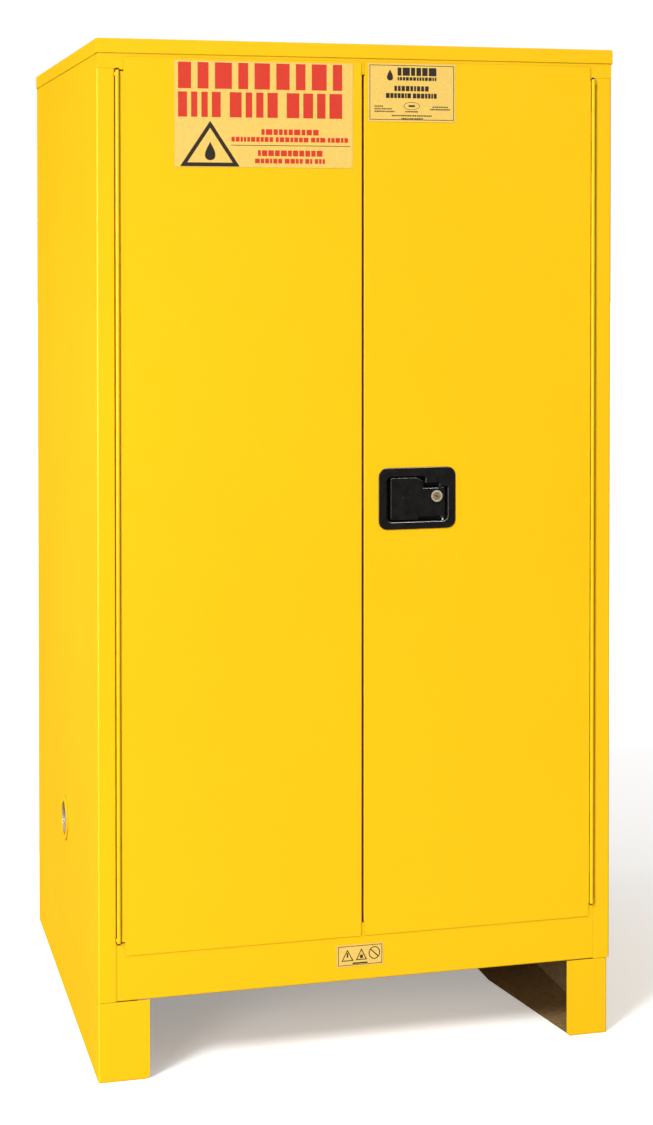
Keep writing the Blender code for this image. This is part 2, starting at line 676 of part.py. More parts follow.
def paddle_handle():
    """Pull with a wide grip and a narrow neck, hinged at the neck's right end."""
    front = SKIN + 0.5
    outline = [
        (48.1, 876.7, 3),
        (95.6, 876.7, 1.8),
        (95.6, 881.0, 0),
        (137.4, 881.0, 1.8),
        (137.4, 928.4, 1.8),
        (104.1, 928.4, 0),
        (104.1, 939.5, 2.2),
        (92.9, 946.4, 2.4),
        (48.1, 946.4, 3),
    ]
    paddle = lofted("paddle_handle", eased(outline, EDGE_R, front, front + 8, growing=True))
    hollow = [
        (50.3, 878.9),
        (93.6, 878.9),
        (93.6, 883.1),
        (132.8, 883.1),
        (132.8, 926.2),
        (101.9, 926.2),
        (101.9, 938.3),
        (92.3, 944.2),
        (50.3, 944.2),
    ]
    cut(paddle, (hollow, "Y", front + 2.5, front + 20))
    add(paddle, (circle(PADDLE_AXIS, 4.8, 24), "Z", 878.6, 928.1))
    add(paddle, box(TAB[0], TAB[1], front + 1, SKIN + 27.5, TAB[2], TAB[3]))
    cut(paddle, (circle(LOCK, 8.4, 28), "Y", front - 3, front + 20))
    cut(paddle, (circle(PADDLE_AXIS, 2.3, 16), "Z", 876, 887), (circle(PADDLE_AXIS, 2.3, 16), "Z", 918, 931))
    for x0, x1, z in ((66, 90, 911.5), (72, 84, 908.0)):
        add(paddle, (rectangle((x0, z), (x1, z + 1.4), 0.6, 2), "Y", front - 0.35, front + 0.5))
    return finish(paddle, "black_cast", "paddle", smooth=True)


def paddle_pins():
    for name, low, high in (("paddle_pin_lower", 870.0, 886.7), ("paddle_pin_upper", 918.3, 940.0)):
        pin = solid(name, (circle(PADDLE_AXIS, 2.0, 16), "Z", low, high))
        finish(pin, "zinc_plated_steel", "paddle", smooth=True)


def lock_barrel():
    barrel = solid("lock_barrel", (circle(LOCK, 9.5, 32), "Y", SKIN - 1.2, SKIN + 0.2))
    add(barrel, (circle(LOCK, 8.0, 32), "Y", SKIN - 0.5, SKIN + 11))
    cut(barrel, (circle(LOCK, 6.5, 28), "Y", SKIN - 5, SKIN + 15))
    return finish(barrel, "nickel_plate", "paddle", smooth=True)


def lock_plug():
    plug = solid("lock_plug", (circle(LOCK, 6.2, 28), "Y", SKIN - 0.8, SKIN + 11))
    x, z = LOCK
    half = [(-3.4, 1.9), (-3.4, 0.7), (-0.6, 0.7), (-0.6, -1.9)]
    keyway = half + [(-a, -b) for a, b in half]
    cut(plug, ([(x + a, z + b) for a, b in keyway], "Y", SKIN - 4, SKIN + 5))
    return finish(plug, "brass", "lock_turn", smooth=True)


def lock_tongue():
    x, z = LOCK
    outline = rounded([(x - 14, z - 4, 3), (x + 5, z - 4, 4), (x + 5, z + 4, 4), (x - 14, z + 4, 3)], 3)
    tongue = solid("lock_tongue", (outline, "Y", SKIN + 11.3, SKIN + 12.8))
    return finish(tongue, "zinc_plated_steel", "lock_turn", smooth=True)


def latch_cam():
    """Cross plate that turns behind the pan and carries one pin for each of the three bolts."""
    x, z = CAM
    front, back = SKIN + 18.5, SKIN + 21.5
    cam = solid("latch_cam", (rectangle((x - 23, z - 5), (x + 23, z + 5), 4.8, 4), "Y", front, back))
    add(cam, (rectangle((x - 4, z - 23), (x + 4, z + 22), 2.5, 3), "Y", front, back))
    add(cam, (circle(CAM, 9.2, 24), "Y", front, back))
    for px, pz, end in ((-CAM_ARM, 0, 26.2), (CAM_ARM, 0, 26.2), (0, -CAM_ARM, 30.2)):
        add(cam, (circle((x + px, z + pz), CAM_PIN_R, 16), "Y", back - 1, SKIN + end))
    cut(cam, (circle(CAM, 4.3, 20), "Y", front - 3, back + 3))
    return finish(cam, "zinc_plated_steel", "latch_cam_turn", smooth=True)


def cam_bolt():
    bolt = solid("cam_bolt", (circle(CAM, 4.0, 20), "Y", SKIN + 17, DOOR_BACK - SHEET - GAP))
    add(bolt, (circle(CAM, 7.0, 6), "Y", SKIN + 16, SKIN + 18.2))
    return finish(bolt, "zinc_plated_steel", "door_right", smooth=True)


def cam_spring():
    """Torsion spring round the cam bolt, as a tube swept along a helix."""
    turns, steps, sides, radius, wire = 3.0, 14, 6, 6.4, 0.7
    low, high = SKIN + 28.0, SKIN + 35.8
    mesh = bmesh.new()
    rings = []
    count = int(turns * steps)
    for k in range(count + 1):
        a = 2 * math.pi * k / steps
        radial = Vector((math.cos(a), 0, math.sin(a)))
        centre = Vector((CAM[0], low + (high - low) * k / count, CAM[1])) + radial * radius
        ring = [
            centre + (radial * math.cos(b) + Vector((0, 1, 0)) * math.sin(b)) * wire
            for b in (2 * math.pi * j / sides for j in range(sides))
        ]
        rings.append([mesh.verts.new(p * MM) for p in ring])
    for one, two in zip(rings, rings[1:]):
        for j in range(sides):
            n = (j + 1) % sides
            mesh.faces.new((one[j], one[n], two[n], two[j]))
    mesh.faces.new(rings[0])
    mesh.faces.new(rings[-1])
    bmesh.ops.recalc_face_normals(mesh, faces=mesh.faces)
    spring = object_from("cam_spring", mesh)
    return finish(spring, "zinc_plated_steel", "door_right", smooth=True)


def latch_rod(end):
    """Vertical rod of the latch: slotted plate at the cam, round bar to the frame."""
    place = "upper" if end > 0 else "lower"
    x, z = CAM[0] - end * CAM_ARM, CAM[1]
    front, back = SKIN + 22.2, SKIN + 25.2
    inward = end * 5.0  # the pin drifts this way, towards the cam centre, as the cam turns
    low, high = sorted((x - end * 7, x + inward + end * 7))
    plate = (rectangle((low, z - 7.5), (high, z + 7.5), 2, 2), "Y", front, back)
    rod = solid(f"latch_rod_{place}", plate)
    if end > 0:
        start, tip, strip = z + 6, HEADER_BOTTOM - TIP_GAP, (x - 4, x + 4, z + 2, z + 16)
    else:
        start, tip, strip = z - 42.5, SILL_TOP + TIP_GAP, (x - 2, x + 4, z - 50, z - 4)
    add(rod, box(strip[0], strip[1], front, back, strip[2], strip[3]))
    add(rod, (circle((x, ROD_Y), ROD_R, 20), "Z", start, tip))
    slot_low, slot_high = sorted((x - end * 3.4, x + inward + end * 3.4))
    cut(rod, (rectangle((slot_low, z - 3.4), (slot_high, z + 3.4), 1.5, 2), "Y", front - 3, back + 8))
    return finish(rod, "zinc_plated_steel", f"latch_rod_{place}_travel", smooth=True)


def centre_bolt():
    """Side bolt of the latch: bar from the cam's lower pin to the meeting edge."""
    x, z = CAM[0], CAM[1] - CAM_ARM
    front, back = SKIN + 26.2, SKIN + 29.2
    bolt = solid("centre_bolt", (rectangle((x - 7, z - 6.8), (x + 5.4, z + 9.6), 2, 2), "Y", front, back))
    add(bolt, box(20, x - 5, front, back, z - 4, z + 5))
    add(bolt, (rectangle((4.2, SKIN + 23), (34, SKIN + 31), 1.5, 2), "Z", z - 5.5, z + 6.5))
    cut(bolt, (rectangle((x - 3.4, z - 3.4), (x + 3.4, z + 8.4), 1.5, 2), "Y", front - 3, back + 3))
    return finish(bolt, "zinc_plated_steel", "centre_bolt_travel", smooth=True)


def strike_plates():
    for name, x, z in (
        ("strike_upper", CAM[0] - CAM_ARM, HEADER_BOTTOM + SHEET + GAP),
        ("strike_lower", CAM[0] + CAM_ARM, SILL_TOP - SHEET - GAP - 2),
    ):
        outline = rectangle((x - 19, ROD_Y - 11), (x + 19, ROD_Y + 11), 2, 2)
        plate = solid(name, (outline, "Z", z, z + 2))
        cut(plate, (circle((x, ROD_Y), ROD_R + 1.2, 20), "Z", z - 3, z + 5))
        finish(plate, "zinc_plated_steel")


def vent_bung(side):
    """Painted bush through both walls, with a flange outside and a ring inside."""
    centre = (0, VENT_Z[side])
    face = SIDE + GAP
    flange = (circle(centre, 38.5, 40), "X", side * face, side * (face + 2.7))
    bung = solid(f"vent_bung_{name_of(side)}", flange)
    add(bung, (circle(centre, VENT_R, 40), "X", side * (face + 1), side * 386))
    add(bung, (circle(centre, 36, 40), "X", side * 385.5, side * (LINER - SHEET - GAP)))
    cut(bung, (circle(centre, VENT_BORE, 40), "X", side * 380, side * 440))
    return finish(bung, "yellow_paint", smooth=True)


def flame_arrester(side):
    """Perforated disc with a raised rim, held in the bush's bore."""
    z = VENT_Z[side]
    disc = solid(
        f"flame_arrester_{name_of(side)}",
        (circle((0, z), VENT_BORE - GAP, 40), "X", side * 424, side * (SIDE + 2.6)),
    )
    cut(disc, (circle((0, z), VENT_BORE - 3.2, 40), "X", side * 427, side * (SIDE + 10)))
    x, pitch, half, steps = (side * 420, side * 430), 6.6, 2.2, range(-4, 5)
    holes = [
        box(*x, y * pitch - half, y * pitch + half, z + k * pitch - half, z + k * pitch + half)
        for y in steps
        for k in steps
        if math.hypot(y * pitch, k * pitch) < 22.5
    ]
    cut(disc, *holes)
    return finish(disc, "stainless_steel", smooth=True)


def ground_stud():
    """Earthing bolt through the right leg, near the back."""
    centre = (BACK - 90, 80)
    face = SIDE - 4.3
    stud = solid("ground_stud", (circle(centre, 6.8, 6), "X", face + GAP, face + 4.5))
    add(stud, (circle(centre, 4.0, 16), "X", face + 2, face - 22))
    add(stud, (circle(centre, 6.8, 6), "X", face - SHEET - GAP, face - SHEET - 6))
    return finish(stud, "zinc_plated_steel", smooth=True)


def main():
    clear_scene()
    top_cap()
    header_rail()
    sill_rail()
    back_panel()
    bottom_panel()
    liner_back()
    liner_top()
    sump_pan()
    for side in (-1, 1):
        pivot(f"door_{name_of(side)}", side * HINGE_X, HINGE_Y, 0)
        side_panel(side)
        liner_side(side)
        leg(side)
        vent_bung(side)
        flame_arrester(side)
        hinge_pin(side)
        hinge_leaf(side, on_door=False)
        hinge_leaf(side, on_door=True)
        door_skin(side)
        door_liner(side)
        slide_bolt(side)
        for end in (-1, 1):
            shelf_standard(side, end)
        for level in SHELF_Z:
            shelf_bracket(side, level)
    for level in SHELF_Z:
        shelf(level)
    strike_plates()
    ground_stud()
    label("warning_label", -307.7, -15.8, 1450, 1619, SKIN, "door_left")
    label("data_label", 9.3, 157.7, 1526, 1621, SKIN, "door_right")
    label("sill_label", -42.7, 36.6, 150, 186.5, FRONT)
    pivot("paddle", *PADDLE_AXIS, LOCK[1], "door_right")
    pivot("lock_turn", LOCK[0], SKIN, LOCK[1], "paddle")
    pivot("latch_cam_turn", CAM[0], SKIN + 20, CAM[1], "door_right")
    pivot("latch_rod_upper_travel", CAM[0] - CAM_ARM, ROD_Y, CAM[1], "door_right")
    pivot("latch_rod_lower_travel", CAM[0] + CAM_ARM, ROD_Y, CAM[1], "door_right")
    pivot("centre_bolt_travel", CAM[0], SKIN + 27.7, CAM[1] - CAM_ARM, "door_right")
    latch_pan()
    paddle_handle()
    paddle_pins()
    lock_barrel()
    lock_plug()
    lock_tongue()
    latch_cam()
    cam_bolt()
    cam_spring()
    latch_rod(1)
    latch_rod(-1)
    centre_bolt()


main()
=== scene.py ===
"""Looks of the two-door flammable storage cabinet: finishes, printed labels and small trim.

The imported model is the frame. Lengths in the tables below are millimetres, and MM turns them
into metres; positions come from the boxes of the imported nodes. The studio is in metres.
"""

import json
import math
import random

import bmesh
import bpy
from mathutils import Matrix, Vector

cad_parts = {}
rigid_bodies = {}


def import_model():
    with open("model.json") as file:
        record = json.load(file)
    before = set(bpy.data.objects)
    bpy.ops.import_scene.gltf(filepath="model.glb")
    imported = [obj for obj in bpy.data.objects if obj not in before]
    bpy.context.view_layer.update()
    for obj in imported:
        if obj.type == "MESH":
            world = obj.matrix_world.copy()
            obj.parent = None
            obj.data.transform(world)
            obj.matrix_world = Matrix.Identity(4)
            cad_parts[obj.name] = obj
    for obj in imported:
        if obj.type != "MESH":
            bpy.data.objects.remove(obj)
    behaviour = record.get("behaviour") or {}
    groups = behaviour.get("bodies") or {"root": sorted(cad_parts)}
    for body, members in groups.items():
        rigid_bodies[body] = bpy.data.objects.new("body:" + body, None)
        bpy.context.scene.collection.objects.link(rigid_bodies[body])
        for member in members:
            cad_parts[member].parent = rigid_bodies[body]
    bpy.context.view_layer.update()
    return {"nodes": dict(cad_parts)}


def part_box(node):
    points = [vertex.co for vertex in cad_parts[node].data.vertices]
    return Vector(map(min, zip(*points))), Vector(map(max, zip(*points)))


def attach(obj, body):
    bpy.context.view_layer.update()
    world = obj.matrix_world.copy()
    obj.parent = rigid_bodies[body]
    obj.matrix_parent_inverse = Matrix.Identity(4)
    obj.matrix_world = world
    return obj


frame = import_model()

MM = 0.001
WHITE, BLACK = (1, 1, 1, 1), (0, 0, 0, 1)

# Edges of the carried-over pieces
SHARP_ANGLE = math.radians(40)  # edges steeper than this are rounded and stay crisp
FLAT_ANGLE = math.radians(0.3)
JOIN_REACH = 0.01
EDGE_RADIUS = 0.3
EDGE_RADII = {
    "cam_spring": 0,
    "latch_pan": 0.35,
    "lock_barrel": 0.35,
    "lock_plug": 0.25,
    "paddle_handle": 0.4,
    "top_cap": 0.35,
}
LEGS = ("leg_left", "leg_right")
LEG_INSIDE = {"X": 425.0, "Y": 425.5}  # half the width and depth inside the sheet of the legs

# Darkest and lightest tone of each colour
PAINT = (0.905, 0.518, 0.0016, 1), (0.945, 0.546, 0.0022, 1)
# Painted shade: dark brown for the insides of the legs
LEG_SHADE_TONES = (0.22, 0.14, 0.062, 1), (0.36, 0.235, 0.105, 1)
CREAM = (0.80, 0.52, 0.105, 1), (0.87, 0.58, 0.135, 1)
RED = (0.62, 0.030, 0.012, 1), (0.70, 0.042, 0.017, 1)
DARK = (0.022, 0.012, 0.008, 1), (0.040, 0.024, 0.016, 1)
CAST = (0.0055, 0.0048, 0.0044, 1), (0.0100, 0.0088, 0.0080, 1)
NICKEL = (0.60, 0.53, 0.40, 1), (0.74, 0.68, 0.56, 1)
BRASS = (0.30, 0.20, 0.09, 1), (0.50, 0.36, 0.19, 1)
STAINLESS = (0.62, 0.54, 0.46, 1), (0.88, 0.80, 0.72, 1)
OXIDE = (0.52, 0.53, 0.54, 1), (0.68, 0.69, 0.70, 1)
SPANGLE = (0.78, 0.79, 0.80, 1), WHITE
ZINC_BLUE, ZINC_GREY, ZINC_GOLD = (0.58, 0.58, 0.60, 1), (0.64, 0.63, 0.58, 1), (0.66, 0.60, 0.47, 1)
FLECK = (0.985, 0.98, 0.97, 1), WHITE
# Painted shade: how dark the paint gets in seams and corners
SEAM_SHADE_TINT = (0.42, 0.30, 0.20, 1), WHITE
# Painted shade: how dark the vents' stainless steel gets in its corners
VENT_CORNER_SHADE = (0.26, 0.20, 0.14, 1), WHITE
SEAM_REACH, VENT_SHADE_REACH = 5.0, 4.0  # how far from a corner they begin
CRYSTALS = 95  # zinc crystals to the metre

# Print on the labels
INK = 0.04  # how thick it is
INK_PROUD = 0.75  # share of that thickness in front of the label
RED_SLOT, DARK_SLOT = 0, 1
OVAL_POINTS, DROP_POINTS = 28, 30

# Rows of print: start, end, low and high from the edges of the label, then the letters in each
# word, the gap between letters and the space between words in widths of a letter
WARNING_ROWS = (
    (6.2, -18, 44.5, 2.6, [9], 0.42, 0.7),
    (6.2, -18, 89.5, 49.5, [4, 4, 4], 0.42, 0.95),
    (140.8, -57.0, 116.7, 107.6, [10], 0.25, 0.7),
    (92.1, -8.3, 128.0, 120.3, [10, 7, 3, 5], 0.25, 0.7),
    (135.2, -50.7, 150.7, 141.2, [11], 0.25, 0.7),
    (130.4, -46.6, 162.3, 154.6, [6, 4, 2, 3], 0.25, 0.7),
)
DATA_ROWS = (
    (49.8, 115.5, 19.8, 6.6, [6], 0.2, 0.7),
    (49.8, 115.5, 27.6, 22.0, [13], 0.3, 0.7),
    (44.3, 102.3, 44.8, 36.4, [9], 0.25, 0.7),
    (30.2, 116.1, 56.3, 48.3, [7, 7], 0.25, 0.7),
    (11.1, 25.0, 70.8, 68.6, [5], 0.35, 0.7),
    (10.4, 40.0, 75.0, 72.8, [6, 7], 0.35, 0.7),
    (11.1, 44.5, 79.2, 77.0, [8, 6], 0.35, 0.7),
    (109.0, 135.0, 71.2, 69.0, [4, 6], 0.35, 0.7),
    (105.0, 138.8, 75.2, 73.0, [14], 0.35, 0.7),
    (63.0, 83.7, 79.2, 77.0, [8], 0.35, 0.7),
    (40.0, 107.6, 85.8, 83.6, [12, 3, 9], 0.35, 0.7),
    (56.2, 92.8, 90.6, 88.4, [14], 0.35, 0.7),
)

# Small trim
SCREEN_PITCH, SCREEN_WIRE, SCREEN_WEAVE = 2.9, 0.32, 0.35
SCREEN_RIM, SCREEN_DEPTH = 3.4, 4.0  # inside the plate's edge, and behind its front
SCREEN_GAP, SCREEN_SHORTEST = 0.2, 3.0  # at a wire's end, and the shortest half of a wire
BEAD_RADIUS, BEAD_OUT, BEAD_BACK, BEAD_END, BEAD_STEPS = 1.15, 1.0, 1.32, 1.0, 46
TACK_OUT, TACK_BACK, TACK_STRETCH = 3.6, 1.6, (0.8, 0.7, 1.5)
TACK_TOP, TACK_BOTTOM = (-7.0, 2.1), (6.0, 1.9)  # height from the pin's end, and radius

# Studio
SKY_LIGHT, SKY_MIRRORED = (0.25, 0.80, 0.0), (0.012, 0.60, 0.25)  # at the horizon, overhead, start
FLOOR_TONE, FLOOR_BOUNCE, FLOOR_MIRRORED = 0.94, 0.40, 0.03
FLOOR_GLOW, FLOOR_REACH, FLOOR_RADIUS = (0.30, 0.5), (0.9, 3.5), 40.0
SUN_FROM, SUN_STRENGTH, SUN_ANGLE = (-0.58, -0.51, 0.63), 2.5, math.radians(14)

# Place, target, size and power
SOFT_LIGHTS = {
    "left_softbox": ((-2.4, -3.0, 1.0), (0, -0.4, 0.8), (1.2, 1.2), 56),
    "side_fill": ((-3.2, 0.5, 1.0), (-0.4, 0.2, 0.9), (1.5, 2.0), 40),
}
MIRRORED_STRIPS = {
    "overhead_strip": ((0.7, -2.5, 3.3), (0, -0.4, 1.0), (2.6, 0.5), 60),
    "left_strip": ((-3.2, -1.2, 1.3), (-0.4, -0.2, 1.0), (0.5, 2.2), 30),
}
METAL_CARDS = {
    "front_card": ((1.2, -4.2, 1.2), (0, 0, 0.9), (2.6, 2.4), 18),
    "left_card": ((-4.2, 1.0, 1.4), (0, 0, 0.6), (3.0, 2.4), 18),
    "right_card": ((4.2, -1.0, 1.4), (0, 0, 0.9), (2.4, 2.4), 12),
}
LATCH_STRIP = (0.75, -1.75, 3.0), (0.09, -0.4, 0.91), (1.6, 0.35), 140

CAMERA_PLACE = (-0.88872, -3.81684, 1.34089)
CAMERA_YAW, CAMERA_PITCH, CAMERA_ROLL = -0.26306, 0.02097, 0.00039
CAMERA_LENS, CAMERA_SENSOR, CAMERA_SHIFT = 69.2, 36.0, (-0.0445, -0.25)
CAMERA_CLIP = (0.05, 200.0)


# Node helpers


def material(name, **sockets):
    """A new Principled material; sockets are its input names with underscores for spaces."""
    made = bpy.data.materials.new(name)
    made.use_nodes = True
    shader = made.node_tree.nodes["Principled BSDF"]
    for socket, value in sockets.items():
        shader.inputs[socket.replace("_", " ")].default_value = value
    return made, made.node_tree, shader


def place(tree, stretch=(1, 1, 1)):
    """Object coordinates in metres, stretched."""
    coordinates = tree.nodes.new("ShaderNodeTexCoord")
    mapping = tree.nodes.new("ShaderNodeMapping")
    mapping.inputs["Scale"].default_value = stretch
    tree.links.new(coordinates.outputs["Object"], mapping.inputs["Vector"])
    return mapping.outputs["Vector"]


def noise(tree, scale, detail, roughness=0.5, stretch=(1, 1, 1)):
    """Noise with that many features to the metre."""
    texture = tree.nodes.new("ShaderNodeTexNoise")
    texture.inputs["Scale"].default_value = scale
    texture.inputs["Detail"].default_value = detail
    texture.inputs["Roughness"].default_value = roughness
    tree.links.new(place(tree, stretch), texture.inputs["Vector"])
    return texture.outputs[0]


def cells(tree, scale, feature="F1", output="Color"):
    """Cells with that many to the metre."""
    texture = tree.nodes.new("ShaderNodeTexVoronoi")
    texture.feature = feature
    texture.inputs["Scale"].default_value = scale
    tree.links.new(place(tree), texture.inputs["Vector"])
    return texture.outputs[output]


def nearness(tree, reach):
    """From 0 in a corner to 1 where nothing stands within that many millimetres."""
    made = tree.nodes.new("ShaderNodeAmbientOcclusion")
    made.samples = 6
    made.inputs["Distance"].default_value = reach * MM
    return made.outputs["AO"]


def ramp(tree, value, stops, tones):
    """The tones, each at its stop of value."""
    made = tree.nodes.new("ShaderNodeValToRGB")
    elements = made.color_ramp.elements
    while len(elements) < len(stops):
        elements.new(0.5)
    for element, position, colour in zip(elements, stops, tones):
        element.position = position
        element.color = colour
    tree.links.new(value, made.inputs["Fac"])
    return made.outputs["Color"]


def spread(tree, value, low, high, start=0.3, end=0.7):
    """Maps value from start..end to low..high."""
    made = tree.nodes.new("ShaderNodeMapRange")
    for socket, number in zip(("From Min", "From Max", "To Min", "To Max"), (start, end, low, high)):
        made.inputs[socket].default_value = number
    tree.links.new(value, made.inputs["Value"])
    return made.outputs["Result"]


def blend(tree, factor, one, two, mode="MIX"):
    """Colour one turned into colour two by the factor; each is a socket or a value."""
    made = tree.nodes.new("ShaderNodeMix")
    made.data_type = "RGBA"
    made.blend_type = mode
    for socket, source in (("Factor_Float", factor), ("A_Color", one), ("B_Color", two)):
        target = next(s for s in made.inputs if s.identifier == socket)
        if isinstance(source, bpy.types.NodeSocket):
            tree.links.new(source, target)
        else:
            target.default_value = source
    return next(s for s in made.outputs if s.identifier == "Result_Color")


def tinted(tree, colour, tint):
    return blend(tree, 1.0, colour, tint, "MULTIPLY")


def bump(tree, height, depth, strength, under=None):
    """Bump of that depth in millimetres, over another bump's normal."""
    made = tree.nodes.new("ShaderNodeBump")
    made.inputs["Distance"].default_value = depth * MM
    made.inputs["Strength"].default_value = strength
    tree.links.new(height, made.inputs["Height"])
    if under:
        tree.links.new(under, made.inputs["Normal"])
    return made.outputs["Normal"]


def reckon(tree, operation, *values):
    """A maths node over sockets or numbers."""
    made = tree.nodes.new("ShaderNodeMath")
    made.operation = operation
    for socket, value in zip(made.inputs, values):
        if isinstance(value, bpy.types.NodeSocket):
            tree.links.new(value, socket)
        else:
            socket.default_value = value
    return made.outputs[0]


def wire(tree, shader, colour, roughness, normal):
    """Plugs a finish's three sockets into its shader."""
    for name, socket in (("Base Color", colour), ("Roughness", roughness), ("Normal", normal)):
        tree.links.new(socket, shader.inputs[name])


def mottled(name, tones, tone, sheen, relief, **sockets):
    """A finish whose colour, roughness and relief each follow a noise.

    tone is (noise, stops), sheen is (noise, lowest, highest) and relief is (noise, millimetres,
    strength), where noise is the arguments of noise().
    """
    made, tree, shader = material(name, **sockets)
    colour = ramp(tree, noise(tree, *tone[0]), tone[1], tones)
    roughness = spread(tree, noise(tree, *sheen[0]), *sheen[1:])
    wire(tree, shader, colour, roughness, bump(tree, noise(tree, *relief[0]), *relief[1:]))
    return made


# Finishes


def yellow_paint():
    """Powder coat with orange peel, over sheet that isn't quite flat, darkened in its seams and corners
    as painted shade.
    """
    made, tree, shader = material("yellow_powder_coat", Specular_IOR_Level=0.3)
    tone = ramp(tree, noise(tree, 1.7, 3), (0.3, 0.7), PAINT)
    # the paint's own tone and flecks, before the painted shade
    clean = tinted(tree, tone, ramp(tree, noise(tree, 620, 2), (0.34, 0.46), FLECK))
    # Painted shade: the paint darkens where other surfaces stand within a few millimetres
    seam = ramp(tree, nearness(tree, SEAM_REACH), (0.30, 0.78), SEAM_SHADE_TINT)
    sheen = spread(tree, noise(tree, 14, 1), 0.31, 0.36, 0.0, 1.0)
    wave = bump(tree, noise(tree, 2.6, 1), 3.0, 0.35)
    peel = bump(tree, noise(tree, 210, 2, 0.45), 0.06, 0.45, wave)
    grain = bump(tree, noise(tree, 1500, 1), 0.01, 0.35, peel)
    wire(tree, shader, tinted(tree, clean, seam), sheen, grain)
    return made


def leg_paint():
    """The same powder coat outside; inside the folds the leg is painted dark brown as painted shade."""
    made = yellow_paint()
    made.name = "yellow_coat_with_painted_leg_shade"
    tree, shader = made.node_tree, made.node_tree.nodes["Principled BSDF"]
    coat = shader.inputs["Base Color"].links[0].from_socket
    at = tree.nodes.new("ShaderNodeSeparateXYZ")
    tree.links.new(place(tree), at.inputs[0])
    sides = []
    for axis, reach in LEG_INSIDE.items():
        far = reckon(tree, "ABSOLUTE", at.outputs[axis])
        sides.append(reckon(tree, "LESS_THAN", far, reach * MM))
    # Painted shade: dark brown inside the legs in place of the shade there
    leg_shade = ramp(tree, noise(tree, 90, 4), (0.35, 0.7), LEG_SHADE_TONES)
    inner = reckon(tree, "MULTIPLY", *sides)
    tree.links.new(blend(tree, inner, coat, leg_shade), shader.inputs["Base Color"])
    return made


def galvanised_steel():
    """Spangled zinc with dull and bright crystals."""
    made, tree, shader = material("galvanised_spangle", Metallic=1.0)
    crystal = cells(tree, CRYSTALS)
    dull = ramp(tree, noise(tree, 12, 4), (0.35, 0.65), OXIDE)
    colour = tinted(tree, dull, ramp(tree, crystal, (0.2, 0.8), SPANGLE))
    edge = bump(tree, cells(tree, CRYSTALS, "DISTANCE_TO_EDGE", "Distance"), 0.02, 0.25)
    relief = bump(tree, noise(tree, 900, 3), 0.01, 0.3, edge)
    wire(tree, shader, colour, spread(tree, crystal, 0.30, 0.52, 0.2, 0.8), relief)
    return made


def zinc_plated_steel():
    """Bright zinc with a faint yellow passivation and drawing marks."""
    drawn = (900, 2, 0.6, (1, 1, 0.04))
    tones, stops = (ZINC_BLUE, ZINC_GREY, ZINC_GOLD), (0.30, 0.50, 0.72)
    tone, sheen, relief = ((38, 3), stops), (drawn, 0.24, 0.42), (drawn, 0.012, 0.4)
    return mottled("zinc_plate", tones, tone, sheen, relief, Metallic=1.0)


def black_cast():
    """Satin black powder coat over a die casting."""
    tone, sheen, relief = ((70, 4), (0.35, 0.7)), ((160, 3), 0.26, 0.36), ((1100, 2, 0.55), 0.035, 0.45)
    return mottled("black_powder_coat", CAST, tone, sheen, relief, Specular_IOR_Level=0.45)


def nickel_plate():
    """Nickel brushed upright."""
    brushed = (2600, 2, 0.6, (1, 1, 0.15))
    tone, sheen, relief = ((240, 3), (0.35, 0.7)), (brushed, 0.22, 0.36), (brushed, 0.006, 0.5)
    return mottled("nickel_plate", NICKEL, tone, sheen, relief, Metallic=1.0)


def brass():
    """Dull brass with scratches across it."""
    scratch = (1800, 3, 0.6, (0.2, 1, 1))
    tone, sheen, relief = ((300, 4), (0.3, 0.7)), (scratch, 0.24, 0.44), (scratch, 0.008, 0.5)
    return mottled("turned_brass", BRASS, tone, sheen, relief, Metallic=1.0)


def stainless_steel():
    """Brushed stainless steel, darkened in its corners as painted shade."""
    made, tree, shader = material("stainless_brushed", Metallic=1.0)
    brushed = noise(tree, 1900, 3, 0.6, (1, 0.05, 1))
    # Painted shade: the steel darkens where other surfaces stand within a few millimetres
    corner_shade = ramp(tree, nearness(tree, VENT_SHADE_REACH), (0.30, 0.72), VENT_CORNER_SHADE)
    colour = tinted(tree, ramp(tree, brushed, (0.3, 0.7), STAINLESS), corner_shade)
    sheen = spread(tree, noise(tree, 120, 3), 0.24, 0.40)
    wire(tree, shader, colour, sheen, bump(tree, brushed, 0.008, 0.5))
    return made


def cream_label():
    """Pressure-sensitive vinyl, slightly mottled, following the paint under it."""
    tone, sheen, relief = ((240, 4, 0.6), (0.32, 0.68)), ((60, 3), 0.34, 0.46), ((200, 2), 0.06, 0.4)
    return mottled("cream_vinyl", CREAM, tone, sheen, relief, Specular_IOR_Level=0.4)


def ink(name, tones):
    """Screen-printed ink with a little unevenness."""
    tone, sheen, relief = ((420, 4, 0.65), (0.3, 0.7)), ((150, 2), 0.38, 0.50), ((900, 2), 0.01, 0.4)
    return mottled(name, tones, tone, sheen, relief, Specular_IOR_Level=0.35)


FINISHES = {
    "yellow_paint": yellow_paint(),
    "galvanised_steel": galvanised_steel(),
    "zinc_plated_steel": zinc_plated_steel(),
    "black_cast": black_cast(),
    "nickel_plate": nickel_plate(),
    "brass": brass(),
    "stainless_steel": stainless_steel(),
    "cream_label": cream_label(),
}
METALS = ("galvanised_steel", "zinc_plated_steel", "nickel_plate", "brass", "stainless_steel")
LEG_PAINT = leg_paint()
INKS = ink("red_ink", RED), ink("dark_ink", DARK)


# Carried-over CAD nodes


def node_group(name):
    """An empty geometry node group with its input and output nodes."""
    group = bpy.data.node_groups.new(name, "GeometryNodeTree")
    for way in ("INPUT", "OUTPUT"):
        group.interface.new_socket("Geometry", in_out=way, socket_type="NodeSocketGeometry")
    return group, group.nodes.new("NodeGroupInput"), group.nodes.new("NodeGroupOutput")


